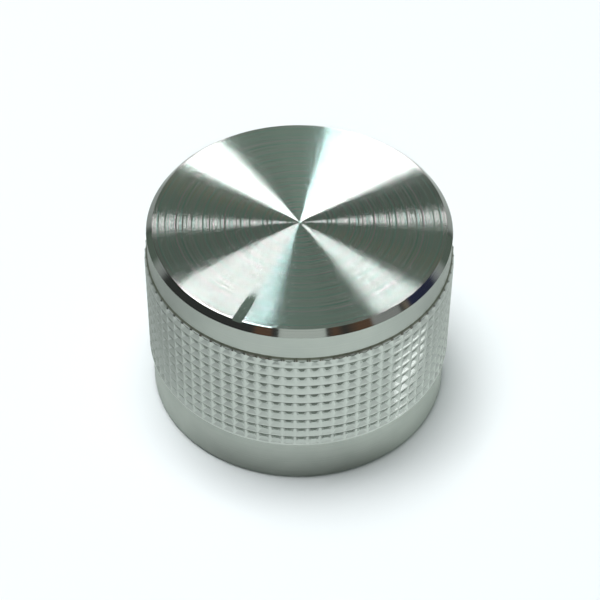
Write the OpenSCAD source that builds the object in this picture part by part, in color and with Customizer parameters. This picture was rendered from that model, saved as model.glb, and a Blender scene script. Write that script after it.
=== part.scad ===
// Push-on volume knob: a turned aluminium cap over a moulded splined core.
// Origin at the centre of the base, +Z up along the shaft, the pointer notch towards -Y.

/* [Cap] */
// Diameter of the two plain bands
band_d = 30; // [28:0.1:36]
// Height from the base to the face
body_h = 20.9; // [20.5:0.1:24]
// Mirror-cut chamfer round the face
rim_chamfer = 0.6; // [0.3:0.1:1]
// Broken edge at the foot of the cap
foot_chamfer = 0.25; // [0.1:0.05:0.4]
// Wall of the cap between its plain bands and the bore that takes the core
wall_t = 1.8; // [1.5:0.1:2.4]
// Thickness of the metal under the face
cap_t = 2; // [1.2:0.1:2.6]
// Lead-in chamfer at the mouth of the bore
mouth_chamfer = 0.3; // [0.1:0.05:0.5]

/* [Knurl] */
// How far the knurl stands proud of the plain bands
knurl_proud = 0.3; // [0.2:0.05:0.6]
// Height of the plain band below the knurl
knurl_z = 5.05; // [3:0.05:6]
// Length of the knurl with its two end chamfers
knurl_len = 12.6; // [9:0.1:13]
// Pits in one row round the cap
knurl_cols = 78; // [60:1:84]
// Height of the lowest row of pits above the foot of the knurl
knurl_first = 1.03; // [0.9:0.01:1.3]
// Depth of one pit
pit_depth = 0.2; // [0.15:0.01:0.25]
// How far a pit's deepest line lies below its middle
pit_drop = 0.09; // [0.02:0.01:0.12]
// How much steeper a pit's ends are than a plain pyramid's, which gives its floor a short line
pit_end = 1.35; // [1.15:0.05:1.8]
// Width of the land left between two pits
pit_land = 0.1; // [0.08:0.01:0.2]
// Turn of the first column of pits from the pointer notch, in degrees
knurl_turn = 1.6; // [0:0.1:4.6]

/* [Face] */
// Width of the pointer notch
pointer_w = 1; // [0.6:0.1:1.6]
// Length of the pointer notch, in from the rim
pointer_len = 4.5; // [3:0.1:8]
// Depth of the pointer notch at the rim
pointer_depth = 0.16; // [0.1:0.01:0.3]
// Diameter of the turning pip at the centre
pip_d = 0.5; // [0.3:0.1:0.8]
// Depth of the turning pip
pip_depth = 0.12; // [0.05:0.01:0.2]

/* [Core] */
// Glue gap between the core and the bore
core_gap = 0.05; // [0.02:0.01:0.1]
// How far the core stands back from the base
core_recess = 0.8; // [0.4:0.1:2]
// Wall of the core's outer ring
core_wall = 1.2; // [0.8:0.1:2]
// Thickness of the web against the cap
web_t = 1.5; // [1:0.1:2]
// Thickness of a rib
rib_t = 1.2; // [0.8:0.1:1.6]
// Number of ribs
rib_count = 4; // [3:1:6]
// Height of a rib's lower edge at the outer ring
rib_z = 4; // [3:0.5:8]
// Height of a rib's lower edge at the hub
rib_hub_z = 9.4; // [9.2:0.1:12]
// Diameter of the hub
hub_d = 9.2; // [8.8:0.1:10]
// How far the hub stands back from the base, over the panel nut
hub_recess = 3; // [2:0.1:3.4]

/* [Socket] */
// Diameter over the tips of the spline teeth in the socket
spline_tip_d = 5.46; // [5.4:0.01:5.6]
// Diameter at the roots of the spline teeth in the socket
spline_root_d = 6.06; // [6:0.01:6.2]
// Number of spline teeth
spline_count = 18; // [12:1:24]
// Share of the tooth pitch that the tip land takes
spline_land = 0.42; // [0.35:0.01:0.5]
// Depth of the socket
socket_depth = 12; // [8:0.5:13]
// Lead-in chamfer at the mouth of the socket
socket_chamfer = 0.4; // [0.2:0.1:0.6]
// Width of the two slots that let the hub spring
slot_w = 0.8; // [0.5:0.1:1.2]
// Length of the two slots
slot_len = 5.6; // [4.8:0.1:6]

/* [Grip ring] */
// Width of the spring ring along the shaft
ring_w = 3; // [2:0.1:3.4]
// Thickness of the spring ring
ring_t = 0.5; // [0.3:0.05:0.7]
// Opening of the spring ring, in degrees
ring_open = 40; // [20:5:80]
// Height of the ring's seat above the end of the hub
ring_z = 1; // [0.8:0.1:1.2]
// Depth of the ring's seat in the hub
ring_seat = 0.25; // [0.1:0.05:0.4]
// Clearance between the ring and its seat
ring_gap = 0.02; // [0.01:0.01:0.05]

/* [Hidden] */
$fn = 96;
// Overshoot of a cut beyond the face that it opens
over = 0.1;
// Direction of the pointer notch, towards -Y
front = -90;
band_r = band_d / 2;
knurl_r = band_r + knurl_proud;
knurl_top = knurl_z + knurl_len;
// The pits are square, so the rows stand as far apart as the columns
knurl_pitch = 2 * PI * knurl_r / knurl_cols;
knurl_rows = floor((knurl_len - knurl_first) / knurl_pitch) + 1;
// Half the mouth of a pit
pit_half = (knurl_pitch - pit_land) / 2;
// Overshoot of the wedges, small enough that they stay apart in the air
pit_over = 0.7 * pit_depth * pit_land / (2 * pit_half);
face_r = band_r - rim_chamfer;
bore_r = band_r - wall_t;
bore_h = body_h - cap_t;
// Radius of the curve along which the notch runs out
pointer_sweep = (pow(pointer_len, 2) + pow(pointer_depth, 2)) / (2 * pointer_depth);
core_r = bore_r - core_gap;
core_in_r = core_r - core_wall;
web_z = bore_h - web_t;
hub_r = hub_d / 2;
seat_r = hub_r - ring_seat;

// Outline of the turned cap, from the axis out and up
module cap_outline() {
    polygon([
        [0, 0],
        [band_r - foot_chamfer, 0],
        [band_r, foot_chamfer],
        [band_r, knurl_z],
        [knurl_r, knurl_z + knurl_proud],
        [knurl_r, knurl_top - knurl_proud],
        [band_r, knurl_top],
        [band_r, body_h - rim_chamfer],
        [face_r, body_h],
        [0, body_h]
    ]);
}

// Wedge that a knurling tooth presses, its edge at the foot of the pits and its back in the air
module wedge(depth, drop) {
    spread = 1 + pit_over / depth;
    polygon([
        [knurl_r - depth, -drop],
        [knurl_r + pit_over, (pit_half + drop) * spread - drop],
        [knurl_r + pit_over, (drop - pit_half) * spread - drop]
    ]);
}

// One upright wedge for each column of pits
module pit_columns() {
    for (i = [0:knurl_cols - 1])
        rotate(front + knurl_turn + i * 360 / knurl_cols)
            linear_extrude(height = knurl_top + knurl_pitch)
                wedge(pit_depth * pit_end, 0);
}

// One ring of wedge section for each row of pits
module pit_rows() {
    rotate_extrude()
        for (i = [0:knurl_rows - 1])
            translate([0, knurl_z + knurl_first + i * knurl_pitch])
                wedge(pit_depth, pit_drop);
}

// The pits are where the columns and the rows cross
module knurl_pits() {
    intersection() {
        pit_columns();
        pit_rows();
    }
}

// Bore for the core, with its lead-in
module core_bore() {
    rotate_extrude()
        polygon([
            [0, -over],
            [bore_r + mouth_chamfer + over, -over],
            [bore_r, mouth_chamfer],
            [bore_r, bore_h],
            [0, bore_h]
        ]);
}

// Pointer notch, deepest at the rim and run out along the cutter's sweep
module pointer_notch() {
    rotate(front)
        translate([face_r, pointer_w / 2, body_h - pointer_depth + pointer_sweep])
            rotate([90, 0, 0])
                cylinder(r = pointer_sweep, h = pointer_w, $fn = 720);
}

// Small turning pip at the centre of the face
module turning_pip() {
    translate([0, 0, body_h - pip_depth])
        cylinder(r1 = 0, r2 = pip_d / 2 * (pip_depth + over) / pip_depth, h = pip_depth + over);
}

module knob_shell() {
    color("#c9cec9")
        difference() {
            rotate_extrude() cap_outline();
            knurl_pits();
            core_bore();
            pointer_notch();
            turning_pip();
        }
}

// Outer ring and web of the moulded core
module core_cup() {
    rotate_extrude()
        polygon([
            [core_in_r, core_recess],
            [core_r - mouth_chamfer, core_recess],
            [core_r, core_recess + mouth_chamfer],
            [core_r, bore_h],
            [0, bore_h],
            [0, web_z],
            [core_in_r, web_z]
        ]);
}

// Ribs that carry the hub, swept up towards it so that its split end stays free
module core_ribs() {
    for (i = [0:rib_count - 1])
        rotate((i + 0.5) * 360 / rib_count)
            translate([0, rib_t / 2, 0])
                rotate([90, 0, 0])
                    linear_extrude(height = rib_t)
                        polygon([
                            [hub_r - over, rib_hub_z],
                            [core_in_r + over, rib_z],
                            [core_in_r + over, web_z + over],
                            [hub_r - over, web_z + over]
                        ]);
}

// Hub with the seat of the spring ring turned into its free end
module core_hub() {
    rotate_extrude()
        polygon([
            [0, hub_recess],
            [hub_r, hub_recess],
            [hub_r, hub_recess + ring_z],
            [seat_r, hub_recess + ring_z],
            [seat_r, hub_recess + ring_z + ring_w + 2 * ring_gap],
            [hub_r, hub_recess + ring_z + ring_w + 2 * ring_gap],
            [hub_r, web_z + over],
            [0, web_z + over]
        ]);
}

// Splined hole: the tips of the teeth lie on the plain hole, and grooves make the roots
module splined_socket() {
    tip_r = spline_tip_d / 2;
    root_r = spline_root_d / 2;
    groove = (1 - spline_land) * PI * spline_tip_d / spline_count;
    translate([0, 0, hub_recess - over]) {
        cylinder(r = tip_r, h = socket_depth + over);
        for (i = [0:spline_count - 1])
            rotate(i * 360 / spline_count)
                linear_extrude(height = socket_depth + over)
                    polygon([
                        [tip_r - over, -groove / 2],
                        [root_r, -groove / 4],
                        [root_r, groove / 4],
                        [tip_r - over, groove / 2]
                    ]);
        cylinder(r1 = root_r + socket_chamfer, r2 = root_r, h = socket_chamfer + over);
    }
}

// Slot right across the free end of the hub
module hub_slots() {
    translate([-hub_d / 2 - over, -slot_w / 2, hub_recess - over])
        cube([hub_d + 2 * over, slot_w, slot_len + over]);
}

module shaft_core() {
    color("#202123")
        difference() {
            union() {
                core_cup();
                core_ribs();
                core_hub();
            }
            splined_socket();
            hub_slots();
        }
}

module grip_ring() {
    color("#8f9498")
        translate([0, 0, hub_recess + ring_z + ring_gap])
            rotate(front + ring_open / 2)
                rotate_extrude(angle = 360 - ring_open)
                    translate([seat_r + ring_gap, 0])
                        square([ring_t, ring_w]);
}

knob_shell();
shaft_core();
grip_ring();
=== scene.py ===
"""Looks for the push-on volume knob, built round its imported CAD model, in metres."""
import math

import bmesh
import bpy
import numpy as np
from mathutils import Matrix, Vector

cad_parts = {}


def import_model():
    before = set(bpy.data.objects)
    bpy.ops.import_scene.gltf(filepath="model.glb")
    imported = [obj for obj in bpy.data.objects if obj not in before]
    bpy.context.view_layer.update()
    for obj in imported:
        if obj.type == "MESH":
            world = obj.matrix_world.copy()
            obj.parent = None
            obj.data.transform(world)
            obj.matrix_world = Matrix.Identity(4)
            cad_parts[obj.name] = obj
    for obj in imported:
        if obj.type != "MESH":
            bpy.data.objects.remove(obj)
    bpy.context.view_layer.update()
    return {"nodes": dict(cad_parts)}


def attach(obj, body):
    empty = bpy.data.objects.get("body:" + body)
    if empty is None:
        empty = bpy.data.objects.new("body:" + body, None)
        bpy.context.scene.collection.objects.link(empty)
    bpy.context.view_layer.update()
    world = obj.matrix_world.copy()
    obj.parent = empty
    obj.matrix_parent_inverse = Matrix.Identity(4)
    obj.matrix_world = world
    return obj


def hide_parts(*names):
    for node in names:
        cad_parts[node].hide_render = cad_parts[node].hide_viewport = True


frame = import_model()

MM = 0.001

# Cap, in millimetres and degrees, as in the CAD source. The knurl's radius is half a micrometre
# less, so that the mesh stays inside the CAD box.
BAND_R = 15.0
BODY_H = 20.9
RIM = 0.6
FOOT = 0.25
BORE_R = 13.2
CAP_T = 2.0
MOUTH = 0.3
KNURL_R = 15.2995
KNURL_Z = 5.05
KNURL_LEN = 12.6
COLUMNS = 78
FIRST_ROW = 1.03
PIT_DEPTH = 0.2
PIT_END = 1.35
PIT_LAND = 0.1
KNURL_TURN = 1.6
FRONT = -90.0
NOTCH_W = 1.0
NOTCH_LEN = 4.5
NOTCH_DEPTH = 0.16
PIP_R = 0.25
PIP_DEPTH = 0.12

STEP = KNURL_R - BAND_R
KNURL_TOP = KNURL_Z + KNURL_LEN
PITCH = 2 * math.pi * KNURL_R / COLUMNS
ROWS = int((KNURL_LEN - FIRST_ROW) // PITCH) + 1
PIT_HALF = (PITCH - PIT_LAND) / 2
FLOOR_HALF = PIT_HALF * (1.0 - 1.0 / PIT_END)

# What wear leaves of a pit, in millimetres from its centre lines. The pairs are for the lowest row
# and the highest.
WORN_DEPTH = (0.21, 0.175)
# Where the lower side bends, and its depth there as a share of the pit's
PIT_BEND = -0.37
BEND_DEPTH = (0.43, 0.28)
# Where the pit is deepest
PIT_FLOOR = -0.05
# Where its two ends bend, and their depth there and on the land beyond, as shares of the pit's
BEND_HALF = 0.4
END_DEPTH = 0.55
LAND_DIP = 0.13
# Half the width of its worn edge
PIT_EDGE = 0.018

# Mesh lines of the cap, in millimetres: how far the nearest ones stay from the bore's inner corner,
# the rings of the face, of the cap's underside and down the bore, the radii of its worn corners by
# their place in the outline, and the steps round each
INNER_ROOM = 0.15
FACE_RINGS = (13.6, 12.4, 11.0, 9.6, 8.2, 6.8, 5.4, 4.0, 2.8, 1.8, 1.0, 0.5, PIP_R)
CEILING_RINGS = (1.5, 4.0, 6.6, 9.2, 11.6, BORE_R - INNER_ROOM)
BORE_RINGS = (BODY_H - CAP_T - INNER_ROOM, 14.0, 9.0, 4.5)
LOWER_CORNERS = {1: 0.04, 2: 0.05, 3: 0.05}
UPPER_CORNERS = {1: 0.03, 2: 0.05}
CORNER_STEPS = 3
# Room that a row's lines leave at the two ends of the knurl
END_ROOM = 0.02
# Edges under this angle are shaded smooth, in degrees
SHARP_ANGLE = 7
# Steps along the notch's sweep, and how far the cutter reaches beyond the notch and over the face
SWEEP_STEPS = 48
SWEEP_OVER = 1.2
CUTTER_OVER = 1.0

# Turned grooves of the face: how many to a millimetre, their steepest slope, how that varies from
# ring to ring, and the share of a groove that only faces in
FEED_PER_MM = 17.3
FEED_SLOPE = 0.60
RING_DEPTH = (0.87, 1.75)
INWARD_SHARE = 0.34
# Heights between which the notch runs out into those grooves, and the least noise at each that
# lets a groove show
RUN_OUT = (BODY_H - 0.105, BODY_H - 0.025, 0.8, 0.3)
# Heights between which painted shade starts in the corner over the knurl, and how far down a pit's
# side faces where it takes painted shade
CORNER = (KNURL_TOP - 0.24, KNURL_TOP - 0.16)
DOWNWARD = (-0.24, -0.08)
# Where nearly all the values of a noise lie
NOISE_SPAN = (0.3, 0.7)

# The photograph's camera: its turn from the pointer notch in degrees, focal length and frame in
# pixels, sensor in millimetres, place and clipping in metres, and direction in radians
CAMERA_TURN = 23.3
FOCAL_PX, FRAME_PX, SENSOR = 2008.5, 600, 36.0
CAMERA_BACK, CAMERA_UP = 0.14198, 0.15614
CLIP = (0.01, 20)
YAW, PITCH_DOWN, ROLL = 0.00084, 0.79988, 0.01070

# Floor: its size and height in metres, what the camera sees of it, and the darker colour, painted
# shade, that the metal mirrors
FLOOR_REACH = 3.0
FLOOR_Z = -1e-5
FLOOR_SEEN = (0.80, 0.835, 0.86)
FLOOR_MIRRORED = (0.445, 0.48, 0.462)
# Painted light and shade on what the metal mirrors of it, as the two ends of a stretch in
# millimetres and the values there.
# The radius counts from the knob's axis, across to the camera's right, and along away from it.
LEFT_ACROSS = (-26.0, -2.0, 0.88, 1.0)
RIGHT_RADIUS = (BAND_R + 3.0, BAND_R + 9.0, 0.45, 0.05)
RIGHT_ACROSS = (6.0, 12.0, 0.0, 1.0)
FRONT_RADIUS = (BAND_R, BAND_R + 3.5, 0.5, 0.0)
FRONT_ALONG = (-14.0, -9.0, 1.0, 0.0)
SHADOW_IN = (BAND_R + 1.0, BAND_R + 9.0, 0.0, 0.42)
SHADOW_OUT = (BAND_R + 11.0, BAND_R + 17.0, 1.0, 0.3)
SHADOW_ALONG = (-20.0, -4.0, 0.0, 1.0)
FAR_ASIDE = (25.0, 42.0, 0.0, 0.26)

# Strip lights for the face: their distance in metres, how far the direction that a level face
# mirrors to the camera leans away from it, and the least squared rise of a strip's direction
STRIP_DISTANCE = 0.7
MIRROR_Y = 0.696
LOWEST_Z2 = 0.02
# Azimuth, reach, half angle, width, power and colour, as strip() takes them
STRIPS = {
    "wide_strip": (50.3, 0.75, 17.3, 0.16, 2.5, (1, 1, 1)),
    "cool_strip": (73.0, 0.75, 5.4, 0.16, 0.64, (0.74, 0.98, 1.0)),
    "side_strip": (135.0, 0.60, 10.0, 0.16, 1.2, (0.95, 1.0, 0.99)),
    "thin_strip": (4.6, -0.62, 3.6, 0.10, 0.11, (1, 1, 1)),
    "thin_strip_left": (1.0, 0.66, 3.8, 0.10, 0.115, (1, 1, 1)),
}
# Card that the knurl's glints mirror: its azimuth from the camera's side to its right in degrees,
# its distance and height, its own width and height, and its power
GLINT_AZIMUTH = 69.5
GLINT_DISTANCE, GLINT_HEIGHT = 0.048, 0.0014
GLINT_SIZE = (0.020, 0.0026)
GLINT_POWER = 0.00013
# Light that makes the floor pale
FLOOR_LIGHT_AT = (-0.07, 0.04, 0.75)
FLOOR_LIGHT_SIZE, FLOOR_LIGHT_POWER = 0.35, 6.5

# Screens round the knob that its metal mirrors: colours, then their azimuths in degrees from the
# camera's side, low and high, and the rises between which one gives way to the next
DARK = (0.029, 0.032, 0.030)
BROWN = (0.085, 0.052, 0.034)
PALE = (0.37, 0.41, 0.38)
GREY = (0.2, 0.21, 0.2)
TAN = (0.15, 0.13, 0.1)
BLUE = (0.02, 0.024, 0.05)
DEEP_BLUE = (0.02, 0.022, 0.04)
GOLD = (0.22, 0.16, 0.05)
BACK = (0.085, 0.11, 0.09)
BEHIND = (0.10, 0.132, 0.112)
APRON = (0.40, 0.43, 0.415)
LOW_SCREENS = (
    (-180, BEHIND), (-160, BACK), (-115, BACK), (-105, APRON), (105, APRON), (115, BACK),
    (160, BACK), (180, BEHIND),
)
SCREENS = (
    (-180, BEHIND), (-165, BACK), (-140, BACK), (-132, DARK), (-34, DARK), (-31, BROWN),
    (-21, BROWN), (-18, DARK), (-15, DARK), (-14, PALE), (20, PALE), (21, DARK), (27, BROWN),
    (34, DARK), (44, BROWN), (53, BROWN), (55, GREY), (73, GREY), (75, DARK), (79, TAN), (82, BLUE),
    (110, DEEP_BLUE), (116, GOLD), (124, BACK), (160, BACK), (180, BEHIND),
)
SCREEN_FOOT = (math.radians(12), math.radians(18))
SCREEN_TOP = (math.radians(46), math.radians(54))
# Overhead, from the middle out to the sides, and the backdrop that the camera sees
OVERHEAD = (0.20, 0.262, 0.22)
OVERHEAD_ASIDE = (0.082, 0.106, 0.088)
ASIDE = (0.15, 0.5)
BACKDROP = (0.80, 0.83, 0.85)


def turned(x, y, z):
    """A point or direction given square to the camera, turned into the part's own frame."""
    a = math.radians(CAMERA_TURN)
    return Vector((x * math.cos(a) - y * math.sin(a), x * math.sin(a) + y * math.cos(a), z))


def placed(axes, at):
    """The matrix of an object at that place with those three axes."""
    matrix = Matrix([[axis[i] for axis in axes] for i in range(3)]).to_4x4()
    matrix.translation = at
    return matrix


def linked(name, data):
    """A new object with that data, in the scene."""
    made = bpy.data.objects.new(name, data)
    bpy.context.scene.collection.objects.link(made)
    return made


def make_camera():
    """The camera fitted to the photograph."""
    forward = Vector((math.sin(YAW) * math.cos(PITCH_DOWN), math.cos(YAW) * math.cos(PITCH_DOWN),
                      -math.sin(PITCH_DOWN)))
    level = Vector((math.cos(YAW), -math.sin(YAW), 0.0))
    upright = level.cross(forward)
    right = math.cos(ROLL) * level + math.sin(ROLL) * upright
    up = -math.sin(ROLL) * level + math.cos(ROLL) * upright
    data = bpy.data.cameras.new("camera")
    data.sensor_width = SENSOR
    data.lens = FOCAL_PX * SENSOR / FRAME_PX
    data.clip_start, data.clip_end = CLIP
    camera = linked("camera", data)
    axes = [turned(*right), turned(*up), -turned(*forward)]
    camera.matrix_world = placed(axes, turned(0, -CAMERA_BACK, CAMERA_UP))
    bpy.context.scene.camera = camera


def nodes_of(name):
    """A new material, its tree and its shader."""
    material = bpy.data.materials.new(name)
    material.use_nodes = True
    tree = material.node_tree
    return material, tree, tree.nodes["Principled BSDF"]


def add(tree, kind, inputs=None, **props):
    """A node with its properties set, and its inputs given as values or as output sockets."""
    node = tree.nodes.new(kind)
    for key, value in props.items():
        setattr(node, key, value)
    for key, value in (inputs or {}).items():
        if isinstance(value, bpy.types.NodeSocket):
            tree.links.new(value, node.inputs[key])
        else:
            node.inputs[key].default_value = value
    return node


def link(tree, shader, **sockets):
    """Sockets linked to the shader's inputs of those names, with _ for a space."""
    for key, value in sockets.items():
        tree.links.new(value, shader.inputs[key.replace("_", " ")])


def math_node(tree, operation, *values):
    return add(tree, "ShaderNodeMath", dict(enumerate(values)), operation=operation).outputs[0]


def times(tree, a, b):
    return math_node(tree, "MULTIPLY", a, b)


def plus(tree, a, b):
    return math_node(tree, "ADD", a, b)


def vector_node(tree, operation, inputs):
    return add(tree, "ShaderNodeVectorMath", inputs, operation=operation).outputs[0]


def mapped(tree, value, low, high, to_low, to_high):
    """The value's stretch from low to high, brought to the other one and held at its ends."""
    inputs = {0: value, 1: low, 2: high, 3: to_low, 4: to_high}
    return add(tree, "ShaderNodeMapRange", inputs).outputs[0]


def spread(tree, value, low, high):
    """A noise brought to that range."""
    return mapped(tree, value, *NOISE_SPAN, low, high)


def ramp(tree, value, stops):
    """Colours along the value, from stops of a position and a colour each."""
    node = add(tree, "ShaderNodeValToRGB", {0: value})
    elements = node.color_ramp.elements
    while len(elements) < len(stops):
        elements.new(1.0)
    for element, (position, colour) in zip(elements, stops):
        element.position = position
        element.color = (*colour, 1.0)
    return node.outputs[0]


def shades(tree, value, low, high, span=NOISE_SPAN):
    """Two colours and all between them, for the value's stretch."""
    return ramp(tree, value, list(zip(span, (low, high))))


def mix(tree, share, *colours):
    """From the first colour where share is 0 to the second where it is 1."""
    inputs = {0: share}
    for key, colour in zip((6, 7), colours):
        inputs[key] = colour if isinstance(colour, bpy.types.NodeSocket) else (*colour, 1)
    return add(tree, "ShaderNodeMix", inputs, data_type="RGBA").outputs[2]


def by_camera(tree, mirrored, seen):
    """One colour where the metal mirrors a surface, and another where the camera sees it."""
    return mix(tree, add(tree, "ShaderNodeLightPath").outputs["Is Camera Ray"], mirrored, seen)


def noise(tree, vector=None, w=None, scale=1.0, detail=2.0, rough=0.5):
    """Noise over the three coordinates of vector, or along the one number w."""
    inputs = {"Scale": scale, "Detail": detail, "Roughness": rough}
    if vector is None:
        inputs["W"] = w
    else:
        inputs["Vector"] = vector
    dimensions = "1D" if vector is None else "3D"
    return add(tree, "ShaderNodeTexNoise", inputs, noise_dimensions=dimensions).outputs[0]


def bump(tree, height, distance):
    return add(tree, "ShaderNodeBump", {"Height": height, "Distance": distance}).outputs[0]


def surface_normal(tree):
    return add(tree, "ShaderNodeNewGeometry").outputs["Normal"]


def upness(tree):
    """How far the surface faces up: 1 on a level face, 0 on an upright wall."""
    return add(tree, "ShaderNodeSeparateXYZ", {0: surface_normal(tree)}).outputs[2]


def object_mm(tree):
    """Object coordinates in millimetres."""
    where = add(tree, "ShaderNodeTexCoord").outputs["Object"]
    return vector_node(tree, "SCALE", {0: where, "Scale": 1 / MM})


def radius_of(tree, where):
    """Distance from the knob's axis, and the three coordinates."""
    parts = add(tree, "ShaderNodeSeparateXYZ", {0: where}).outputs
    squares = plus(tree, times(tree, parts[0], parts[0]), times(tree, parts[1], parts[1]))
    return math_node(tree, "SQRT", squares), parts


def square_to_camera(tree, parts):
    """The two level coordinates, turned so that the second runs away from the camera's side."""
    a = math.radians(CAMERA_TURN)
    cos, sin = math.cos(a), math.sin(a)
    across = plus(tree, times(tree, parts[0], cos), times(tree, parts[1], sin))
    along = math_node(tree, "SUBTRACT", times(tree, parts[1], cos), times(tree, parts[0], sin))
    return across, along


def metal(name):
    """A new metal's material, tree and shader, then a point's place in millimetres, its radius and
    its coordinates."""
    material, tree, shader = nodes_of(name)
    shader.inputs["Metallic"].default_value = 1.0
    where = object_mm(tree)
    return material, tree, shader, where, *radius_of(tree, where)


def grooved(tree, where, radius, share=1.0):
    """The normal as the turned grooves tilt it, in and out along the radius and no other way.
    share is how much of their tilt is left."""
    feed = math_node(tree, "FRACT", times(tree, radius, FEED_PER_MM))
    rings = noise(tree, w=radius, scale=4.6, detail=0.0)
    # one flank faces in, and the other runs back over the whole range of slopes
    groove = plus(tree, mapped(tree, feed, 0.0, INWARD_SHARE, 0.0, -FEED_SLOPE),
                  mapped(tree, feed, INWARD_SHARE, 1.0, 0.0, 2 * FEED_SLOPE))
    slope = times(tree, groove, mapped(tree, rings, 0.25, 0.75, *RING_DEPTH))
    slope = times(tree, slope, share)
    level = vector_node(tree, "MULTIPLY", {0: where, 1: (1.0, 1.0, 0.0)})
    outward = vector_node(tree, "NORMALIZE", {0: level})
    tilt = vector_node(tree, "SCALE", {0: outward, "Scale": slope})
    tilted = vector_node(tree, "ADD", {0: surface_normal(tree), 1: tilt})
    return vector_node(tree, "NORMALIZE", {0: tilted})


def spun_face():
    """Face turned with a fine feed, with a faint play of colour from ring to ring."""
    material, tree, shader, where, radius, _ = metal("spun_face")
    # the offset keeps the hue apart from the grooves' depth, which runs along the radius too
    hue = noise(tree, w=plus(tree, radius, 40.0), scale=4.0, detail=1.0)
    grain = noise(tree, vector=where, scale=9.0, detail=1.0)
    hue = math_node(tree, "MULTIPLY_ADD", hue, 0.6, times(tree, grain, 0.4))
    tint = ramp(tree, hue, [(0.36, (0.95, 0.83, 0.87)), (0.5, (0.83, 0.87, 0.83)),
                            (0.64, (0.71, 0.88, 0.84))])
    shader.inputs["Anisotropic"].default_value = 0.6
    shader.inputs["Anisotropic Rotation"].default_value = 0.25
    shader.inputs["Roughness"].default_value = 0.17
    tangent = add(tree, "ShaderNodeTangent", direction_type="RADIAL", axis="Z").outputs[0]
    normal = grooved(tree, where, radius)
    link(tree, shader, Base_Color=tint, Tangent=tangent, Normal=normal)
    return material


def mirror_cut():
    """Diamond-cut chamfer: close to a mirror, with faint tool lines."""
    material, tree, shader, _, _, parts = metal("mirror_cut")
    lines = noise(tree, w=parts[2], scale=14.0, detail=2.0)
    tint = shades(tree, lines, (0.80, 0.82, 0.80), (0.87, 0.88, 0.86))
    rough = spread(tree, lines, 0.05, 0.09)
    link(tree, shader, Base_Color=tint, Roughness=rough, Normal=bump(tree, lines, 6e-7))
    return material


def satin_band():
    """Plain bands, fine turned and anodised clear."""
    material, tree, shader, where, _, parts = metal("satin_band")
    lines = noise(tree, w=parts[2], scale=6.0, detail=4.0, rough=0.7)
    cloud = noise(tree, vector=where, scale=0.35, detail=3.0)
    grain = noise(tree, vector=where, scale=22.0, detail=2.0)
    streaks = plus(tree, times(tree, lines, 0.5), times(tree, cloud, 0.5))
    tint = shades(tree, streaks, (0.69, 0.73, 0.70), (0.77, 0.80, 0.77), span=(0.35, 0.65))
    rough = spread(tree, grain, 0.28, 0.36)
    heights = plus(tree, times(tree, lines, 0.6), times(tree, grain, 0.4))
    link(tree, shader, Base_Color=tint, Roughness=rough, Normal=bump(tree, heights, 2e-6))
    return material


def knurled():
    """Pressed pits: brighter on the crests where hands rub, with painted shade on the sides that
    face down, and painted shade darkest in the corner over the knurl."""
    material, tree, shader, where, radius, parts = metal("knurled")
    painted_shade, corner_shade = (0.27, 0.30, 0.27), (0.31, 0.33, 0.27)
    wear = mapped(tree, radius, KNURL_R - PIT_DEPTH, KNURL_R, 0.0, 1.0)
    grain = noise(tree, vector=where, scale=9.0, detail=3.0, rough=0.6)
    rubbed = plus(tree, times(tree, wear, 0.7), times(tree, grain, 0.3))
    bright = shades(tree, rubbed, (0.78, 0.815, 0.80), (0.90, 0.93, 0.91), span=(0.1, 0.85))
    # painted shade on the pit sides that face down, by how far they face down
    tint = mix(tree, mapped(tree, upness(tree), *DOWNWARD, 0.0, 1.0), painted_shade, bright)
    # painted shade in the corner over the knurl, in the top of the knurled length
    corner = mapped(tree, parts[2], *CORNER, 0.0, 1.0)
    tint = mix(tree, corner, tint, corner_shade)
    rough = math_node(tree, "MULTIPLY_ADD", corner, 0.2, spread(tree, grain, 0.10, 0.16))
    link(tree, shader, Base_Color=tint, Roughness=rough, Normal=bump(tree, grain, 2e-6))
    return material


def milled():
    """Floor and walls of the pointer notch. Towards its shallow end the cutter skips over more and
    more of the turned grooves."""
    material, tree, shader, where, radius, parts = metal("milled")
    lines = noise(tree, w=parts[0], scale=9.0, detail=3.0)
    blot = noise(tree, vector=where, scale=2.0, detail=3.0)
    streaks = math_node(tree, "MULTIPLY_ADD", lines, 0.6, times(tree, blot, 0.4))
    tint = shades(tree, streaks, (0.66, 0.69, 0.68), (0.80, 0.83, 0.81))
    speck = noise(tree, vector=where, scale=22.0, detail=0.0)
    least = mapped(tree, parts[2], *RUN_OUT)
    share = times(tree, math_node(tree, "GREATER_THAN", speck, least), upness(tree))
    rough = spread(tree, lines, 0.10, 0.16)
    normal = grooved(tree, where, radius, share)
    link(tree, shader, Base_Color=tint, Roughness=rough, Normal=normal)
    return material


def bored():
    """Inside of the cap: bored, not finished."""
    material, tree, shader, _, radius, parts = metal("bored")
    lines = noise(tree, w=plus(tree, parts[2], radius), scale=5.0, detail=3.0)
    tint = shades(tree, lines, (0.62, 0.63, 0.63), (0.75, 0.76, 0.75))
    rough = spread(tree, lines, 0.34, 0.48)
    link(tree, shader, Base_Color=tint, Roughness=rough, Normal=bump(tree, lines, 8e-6))
    return material


def moulded_black():
    """Black moulded plastic with a fine spark-eroded grain."""
    material, tree, shader = nodes_of("moulded_black")
    where = object_mm(tree)
    grain = noise(tree, vector=where, scale=5.5, detail=4.0, rough=0.65)
    cloud = noise(tree, vector=where, scale=0.25, detail=2.0)
    tint = shades(tree, cloud, (0.012, 0.012, 0.013), (0.022, 0.022, 0.024), span=(0.35, 0.65))
    rough = spread(tree, grain, 0.42, 0.62)
    link(tree, shader, Base_Color=tint, Roughness=rough, Normal=bump(tree, grain, 1.2e-5))
    return material


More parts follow.
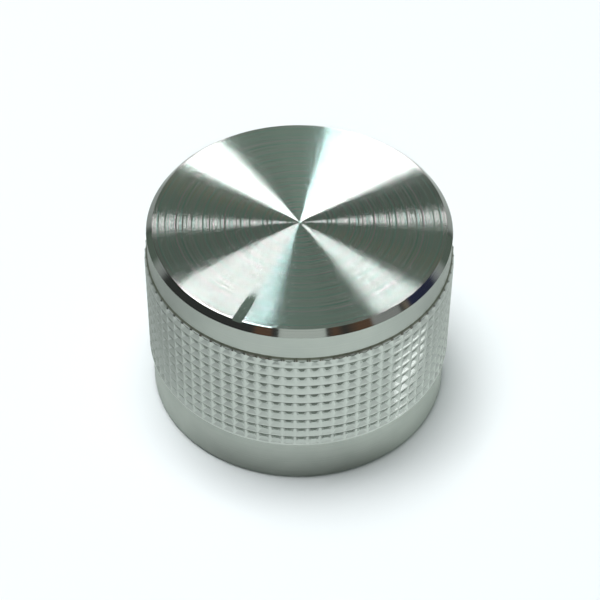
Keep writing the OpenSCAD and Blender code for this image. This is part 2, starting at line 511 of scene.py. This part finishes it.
def spring_steel():
    """Rolled spring strip with its grain along the strip."""
    material, tree, shader, where, _, parts = metal("spring_steel")
    lines = noise(tree, w=parts[2], scale=9.0, detail=4.0, rough=0.7)
    stain = noise(tree, vector=where, scale=0.6, detail=3.0)
    tint = shades(tree, stain, (0.44, 0.44, 0.43), (0.58, 0.58, 0.57))
    rough = spread(tree, lines, 0.22, 0.36)
    link(tree, shader, Base_Color=tint, Roughness=rough, Normal=bump(tree, lines, 3e-6))
    return material


FACE, CHAMFER, BAND, KNURL, NOTCH, BORE = range(6)
FINISHES = (spun_face, mirror_cut, satin_band, knurled, milled, bored)


def rounded(points, corners):
    """The outline with each named corner taken round an arc of that radius, with the material of
    each segment."""
    out = []
    for i, (r, z, mark) in enumerate(points):
        radius = corners.get(i)
        if not radius:
            out.append((r, z, mark))
            continue
        here = np.array([r, z])
        before = np.array(points[i - 1][:2]) - here
        after = np.array(points[i + 1][:2]) - here
        before, after = before / np.linalg.norm(before), after / np.linalg.norm(after)
        half = math.acos(float(np.clip(before @ after, -1, 1))) / 2
        reach = radius / math.tan(half)
        bisector = (before + after) / np.linalg.norm(before + after)
        centre = here + bisector * radius / math.sin(half)
        start, end = here + before * reach, here + after * reach
        a0 = math.atan2(*(start - centre)[::-1])
        a1 = math.atan2(*(end - centre)[::-1])
        turn = (a1 - a0 + math.pi) % (2 * math.pi) - math.pi
        for k in range(CORNER_STEPS + 1):
            a = a0 + turn * k / CORNER_STEPS
            out.append((centre[0] + radius * math.cos(a), centre[1] + radius * math.sin(a),
                        points[i - 1][2] if k < CORNER_STEPS / 2 else mark))
    return out


def pit_fall(u, v, row):
    """How deep the pit is at that distance from its centre lines, along the row and up the column.
    The depth and the bend of its lower side change a little from row to row."""
    depth, bend = (float(np.interp(row, (0, ROWS - 1), ends)) for ends in (WORN_DEPTH, BEND_DEPTH))
    along = np.interp(abs(u), (FLOOR_HALF, BEND_HALF, PIT_HALF), (1.0, END_DEPTH, LAND_DIP))
    up = np.interp(v, (-PIT_HALF, PIT_BEND, PIT_FLOOR, PIT_HALF), (0.0, bend, 1.0, 0.0))
    return depth * min(float(along), float(up))


def pit_lines(*inner):
    """Offsets of the mesh lines across one pit: both sides of its worn edges, and those within."""
    return [-PIT_HALF - PIT_EDGE, -PIT_HALF + PIT_EDGE, *inner,
            PIT_HALF - PIT_EDGE, PIT_HALF + PIT_EDGE]


PIT_LINES_U = pit_lines(-BEND_HALF, -FLOOR_HALF, FLOOR_HALF, BEND_HALF)
PIT_LINES_V = pit_lines(PIT_BEND, PIT_FLOOR, PIT_HALF - LAND_DIP * (PIT_HALF - PIT_FLOOR))


def base_radius(z):
    """Radius of the knurled length before the pits, with its shoulders at both ends."""
    return BAND_R + STEP * max(0.0, min(1.0, (z - KNURL_Z) / STEP, (KNURL_TOP - z) / STEP))


def knurl_rings(across):
    """Rings of the knurled length: the radius at each of its points, the height, and the distance
    from the middle of the nearest row."""
    rows = [KNURL_Z + FIRST_ROW + k * PITCH for k in range(ROWS)]
    heights = [KNURL_Z, KNURL_Z + STEP, KNURL_TOP - STEP, KNURL_TOP]
    low, high = KNURL_Z + STEP + END_ROOM, KNURL_TOP - END_ROOM
    for middle in rows:
        heights += [middle + v for v in PIT_LINES_V if low < middle + v < high]
    rings = []
    for z in sorted(heights):
        row = min(range(ROWS), key=lambda k: abs(z - rows[k]))
        v = z - rows[row]
        base = base_radius(z)
        pitted = KNURL_Z < z < KNURL_TOP
        radii = [min(base, KNURL_R - pit_fall(u, v, row)) if pitted else base for u in across]
        rings.append((radii, z, v))
    return rings


def outer_rings(across):
    """Rings from the mouth of the bore, up the outside, over the face and down to the pip: radii,
    height, the material from there on, and the distance from the middle of a row of pits."""
    lower = [(BORE_R, MOUTH, BORE), (BORE_R + MOUTH, 0.0, BAND), (BAND_R - FOOT, 0.0, BAND),
             (BAND_R, FOOT, BAND), (BAND_R, KNURL_Z, BAND)]
    upper = [(BAND_R, KNURL_TOP, BAND), (BAND_R, BODY_H - RIM, CHAMFER),
             (BAND_R - RIM, BODY_H, FACE), (0.0, BODY_H, FACE)]
    rings = [(*point, 0.0) for point in rounded(lower, LOWER_CORNERS)[:-1]]
    for radii, z, v in knurl_rings(across):
        rings.append((radii, z, BAND if z >= KNURL_TOP else KNURL, v))
    rings += [(*point, 0.0) for point in rounded(upper, UPPER_CORNERS)[1:-1]]
    return rings + [(r, BODY_H, FACE, 0.0) for r in FACE_RINGS]


def cap_mesh():
    """Vertices, faces and materials of the cap before its notch, as one closed skin of rings."""
    turn = 2 * math.pi / COLUMNS
    spots = [(i * turn + u / KNURL_R, u) for i in range(COLUMNS) for u in PIT_LINES_U]
    angles = [math.radians(FRONT + KNURL_TURN) + a for a, _ in spots]
    across = [u for _, u in spots]
    count = len(angles)
    verts, faces, mats = [], [], []

    def ring_of(radii, z):
        start = len(verts)
        for i, a in enumerate(angles):
            r = radii[i] if isinstance(radii, list) else radii
            verts.append((r * MM * math.cos(a), r * MM * math.sin(a), z * MM))
        return start

    def skin(lower, higher, mark, v):
        for i in range(count):
            n = (i + 1) % count
            a, b, c, d = lower + i, lower + n, higher + n, higher + i
            if mark != KNURL:
                faces.append((a, b, c, d))
                mats.append(mark)
                continue
            # the diagonal runs from the pit's floor to its corner
            u = across[i] + across[n] if n % len(PIT_LINES_U) else 0.0
            faces.extend([(a, b, c), (a, c, d)] if u * v > 0 else [(a, b, d), (b, c, d)])
            mats.extend([mark, mark])

    def fan(ring, tip_z, mark):
        tip = len(verts)
        verts.append((0, 0, tip_z * MM))
        for i in range(count):
            faces.append((ring + i, ring + (i + 1) % count, tip))
            mats.append(mark)

    rings = outer_rings(across)
    starts = [ring_of(r, z) for r, z, _, _ in rings]
    for j in range(len(rings) - 1):
        middle = (rings[j][3] + rings[j + 1][3]) / 2
        skin(starts[j], starts[j + 1], rings[j][2], middle - PIT_FLOOR)
    fan(starts[-1], BODY_H - PIP_DEPTH, FACE)
    ceiling = BODY_H - CAP_T
    inside = [(r, ceiling) for r in CEILING_RINGS] + [(BORE_R, z) for z in BORE_RINGS]
    chain = [ring_of(r, z) for r, z in inside] + [starts[0]]
    fan(chain[0], ceiling, BORE)
    for lower, higher in zip(chain[:-1], chain[1:]):
        skin(lower, higher, BORE, 0.0)
    return verts, faces, mats


def outward_normals(mesh):
    """The closed mesh with all its faces turned outward."""
    fix = bmesh.new()
    fix.from_mesh(mesh)
    bmesh.ops.recalc_face_normals(fix, faces=fix.faces)
    fix.to_mesh(mesh)
    fix.free()


def notch_cutter(material):
    """Slot cutter's sweep: deepest at the rim, and out of the face at the notch's inner end."""
    sweep = (NOTCH_LEN ** 2 + NOTCH_DEPTH ** 2) / (2 * NOTCH_DEPTH)
    middle = Vector((BAND_R - RIM, 0, BODY_H - NOTCH_DEPTH + sweep))
    span = math.asin((NOTCH_LEN + SWEEP_OVER) / sweep)
    arc = []
    for k in range(SWEEP_STEPS + 1):
        a = -span + 2 * span * k / SWEEP_STEPS
        arc.append((middle.x + sweep * math.sin(a), middle.z - sweep * math.cos(a)))
    top = BODY_H + CUTTER_OVER
    outline = arc + [(arc[-1][0], top), (arc[0][0], top)]
    half = NOTCH_W / 2
    verts = [Vector((r, s, z)) * MM for s in (-half, half) for r, z in outline]
    turn = Matrix.Rotation(math.radians(FRONT), 4, "Z")
    n = len(outline)
    faces = [tuple(range(n))[::-1], tuple(range(n, 2 * n))]
    faces += [(i, (i + 1) % n, n + (i + 1) % n, n + i) for i in range(n)]
    mesh = bpy.data.meshes.new("notch_cutter")
    mesh.from_pydata([tuple(turn @ v) for v in verts], [], faces)
    mesh.materials.append(material)
    outward_normals(mesh)
    return linked("notch_cutter", mesh)


def cap():
    """The turned cap with its worn knurl and its notch."""
    verts, faces, mats = cap_mesh()
    mesh = bpy.data.meshes.new("cap")
    mesh.from_pydata(verts, [], faces)
    for finish in FINISHES:
        mesh.materials.append(finish())
    mesh.polygons.foreach_set("material_index", mats)
    outward_normals(mesh)
    body = linked("cap", mesh)

    cutter = notch_cutter(mesh.materials[NOTCH])
    cut = body.modifiers.new("notch", "BOOLEAN")
    cut.operation, cut.solver, cut.object = "DIFFERENCE", "EXACT", cutter
    cut.material_mode = "TRANSFER"
    graph = bpy.context.evaluated_depsgraph_get()
    finished = bpy.data.meshes.new_from_object(body.evaluated_get(graph), depsgraph=graph)
    body.modifiers.clear()
    body.data = finished
    finished.name = "cap"
    bpy.data.objects.remove(cutter)
    finished.polygons.foreach_set("use_smooth", [True] * len(finished.polygons))
    finished.set_sharp_from_angle(angle=math.radians(SHARP_ANGLE))
    return body


def floor():
    """Plain pale floor. What the metal mirrors of it has painted light and shade: darker to the
    left and far aside, brighter close at the right, and a painted shadow of the knob under its
    front and broad behind it."""
    mesh = bpy.data.meshes.new("floor")
    s, z = FLOOR_REACH, FLOOR_Z
    mesh.from_pydata([(-s, -s, z), (s, -s, z), (s, s, z), (-s, s, z)], [], [(0, 1, 2, 3)])
    material, tree, shader = nodes_of("floor")
    shader.inputs["Roughness"].default_value = 0.9
    shader.inputs["Specular IOR Level"].default_value = 0.1
    radius, parts = radius_of(tree, object_mm(tree))
    across, along = square_to_camera(tree, parts)

    def where_both(a, a_stretch, b, b_stretch):
        return times(tree, mapped(tree, a, *a_stretch), mapped(tree, b, *b_stretch))

    # painted light and shade on what the metal mirrors of the floor, set by place
    side = mapped(tree, across, *LEFT_ACROSS)
    right = where_both(radius, RIGHT_RADIUS, across, RIGHT_ACROSS)
    front = where_both(radius, FRONT_RADIUS, along, FRONT_ALONG)
    ring = where_both(radius, SHADOW_IN, radius, SHADOW_OUT)
    behind = times(tree, ring, mapped(tree, along, *SHADOW_ALONG))
    far = mapped(tree, math_node(tree, "ABSOLUTE", across), *FAR_ASIDE)
    dark = plus(tree, plus(tree, front, behind), far)
    lit = math_node(tree, "SUBTRACT", plus(tree, side, right), dark)
    under = vector_node(tree, "SCALE", {0: FLOOR_MIRRORED, "Scale": lit})
    link(tree, shader, Base_Color=by_camera(tree, under, FLOOR_SEEN))
    mesh.materials.append(material)
    plane = linked("floor", mesh)


def area_light(name, power, width, height=None, colour=(1, 1, 1)):
    """An area light that the camera doesn't see."""
    data = bpy.data.lights.new(name, "AREA")
    data.size, data.energy, data.color = width, power, colour
    if height:
        data.shape, data.size_y = "RECTANGLE", height
    lamp = linked(name, data)
    lamp.visible_camera = False
    return lamp


def strip(name, azimuth, reach, half_angle, width, power, colour):
    """A strip light that shows on the spun face as a pair of wedges. azimuth is the middle of the
    pair as seen square to the camera, reach is how far the light lies from the mirror direction,
    half_angle is half the opening of a wedge, and width is a share of the light's distance."""
    a = math.radians(azimuth)
    away = (-math.cos(a), -math.sin(a))
    lx, ly = reach * away[0], MIRROR_Y + reach * away[1]
    lz = math.sqrt(max(LOWEST_Z2, 1 - lx * lx - ly * ly))
    towards = Vector((lx, ly, lz))
    level = Vector((-away[1], away[0], 0.0))
    wide = Vector((level.x, level.y, -(towards.x * level.x + towards.y * level.y) / lz))
    stretch = wide.length
    wide.normalize()
    tall = towards.cross(wide).normalized()
    opening = 2 * stretch * abs(reach) * math.tan(math.radians(half_angle))
    lamp = area_light(name, power, STRIP_DISTANCE * opening, STRIP_DISTANCE * width, colour)
    axes = [turned(*wide), turned(*tall), turned(*towards)]
    lamp.matrix_world = placed(axes, axes[2] * STRIP_DISTANCE + Vector((0, 0, BODY_H * MM)))
    lamp.visible_diffuse = False


def look_at_axis(lamp, at):
    """The lamp turned so that it shines from that point to the middle of the floor."""
    lamp.rotation_mode = "QUATERNION"
    lamp.rotation_quaternion = at.to_track_quat("Z", "Y")


def lights():
    """The strips for the face, the card for the knurl's glints, and the light for the floor."""
    for name, values in STRIPS.items():
        strip(name, *values)

    card = area_light("glint_card", GLINT_POWER, *GLINT_SIZE)
    a = math.radians(GLINT_AZIMUTH)
    at = turned(GLINT_DISTANCE * math.sin(a), -GLINT_DISTANCE * math.cos(a), 0)
    look_at_axis(card, at)
    at.z = GLINT_HEIGHT
    card.location = at
    card.visible_diffuse = False

    lamp = area_light("floor_light", FLOOR_LIGHT_POWER, FLOOR_LIGHT_SIZE)
    lamp.location = turned(*FLOOR_LIGHT_AT)
    look_at_axis(lamp, lamp.location)
    lamp.visible_glossy = False


def world():
    """Studio surroundings: pale overhead, with screens round about that the cut edges mirror."""
    studio = bpy.data.worlds.new("studio")
    bpy.context.scene.world = studio
    studio.use_nodes = True
    tree = studio.node_tree
    direction = add(tree, "ShaderNodeTexCoord").outputs["Generated"]
    parts = add(tree, "ShaderNodeSeparateXYZ", {0: direction}).outputs
    across, along = square_to_camera(tree, parts)
    azimuth = math_node(tree, "ARCTAN2", across, times(tree, along, -1.0))
    turn = mapped(tree, azimuth, -math.pi, math.pi, 0.0, 1.0)
    rise = math_node(tree, "ARCSINE", parts[2])
    low, high = (ramp(tree, turn, [((degrees + 180) / 360, colour) for degrees, colour in screens])
                 for screens in (LOW_SCREENS, SCREENS))
    around = mix(tree, mapped(tree, rise, *SCREEN_FOOT, 0.0, 1.0), low, high)
    aside = mapped(tree, math_node(tree, "ABSOLUTE", across), *ASIDE, 0.0, 1.0)
    top = shades(tree, aside, OVERHEAD, OVERHEAD_ASIDE, span=(0.0, 1.0))
    sky = mix(tree, mapped(tree, rise, *SCREEN_TOP, 0.0, 1.0), around, top)
    tree.links.new(by_camera(tree, sky, BACKDROP), tree.nodes["Background"].inputs["Color"])


def main():
    scene = bpy.context.scene
    scene.view_settings.view_transform = "Standard"
    make_camera()
    floor()
    lights()
    world()
    knob = cap()
    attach(knob, "root")
    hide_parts("knob_shell")
    for node, make in (("shaft_core", moulded_black), ("grip_ring", spring_steel)):
        data = frame["nodes"][node].data
        data.materials.clear()
        data.materials.append(make())
        data.polygons.foreach_set("material_index", [0] * len(data.polygons))


main()
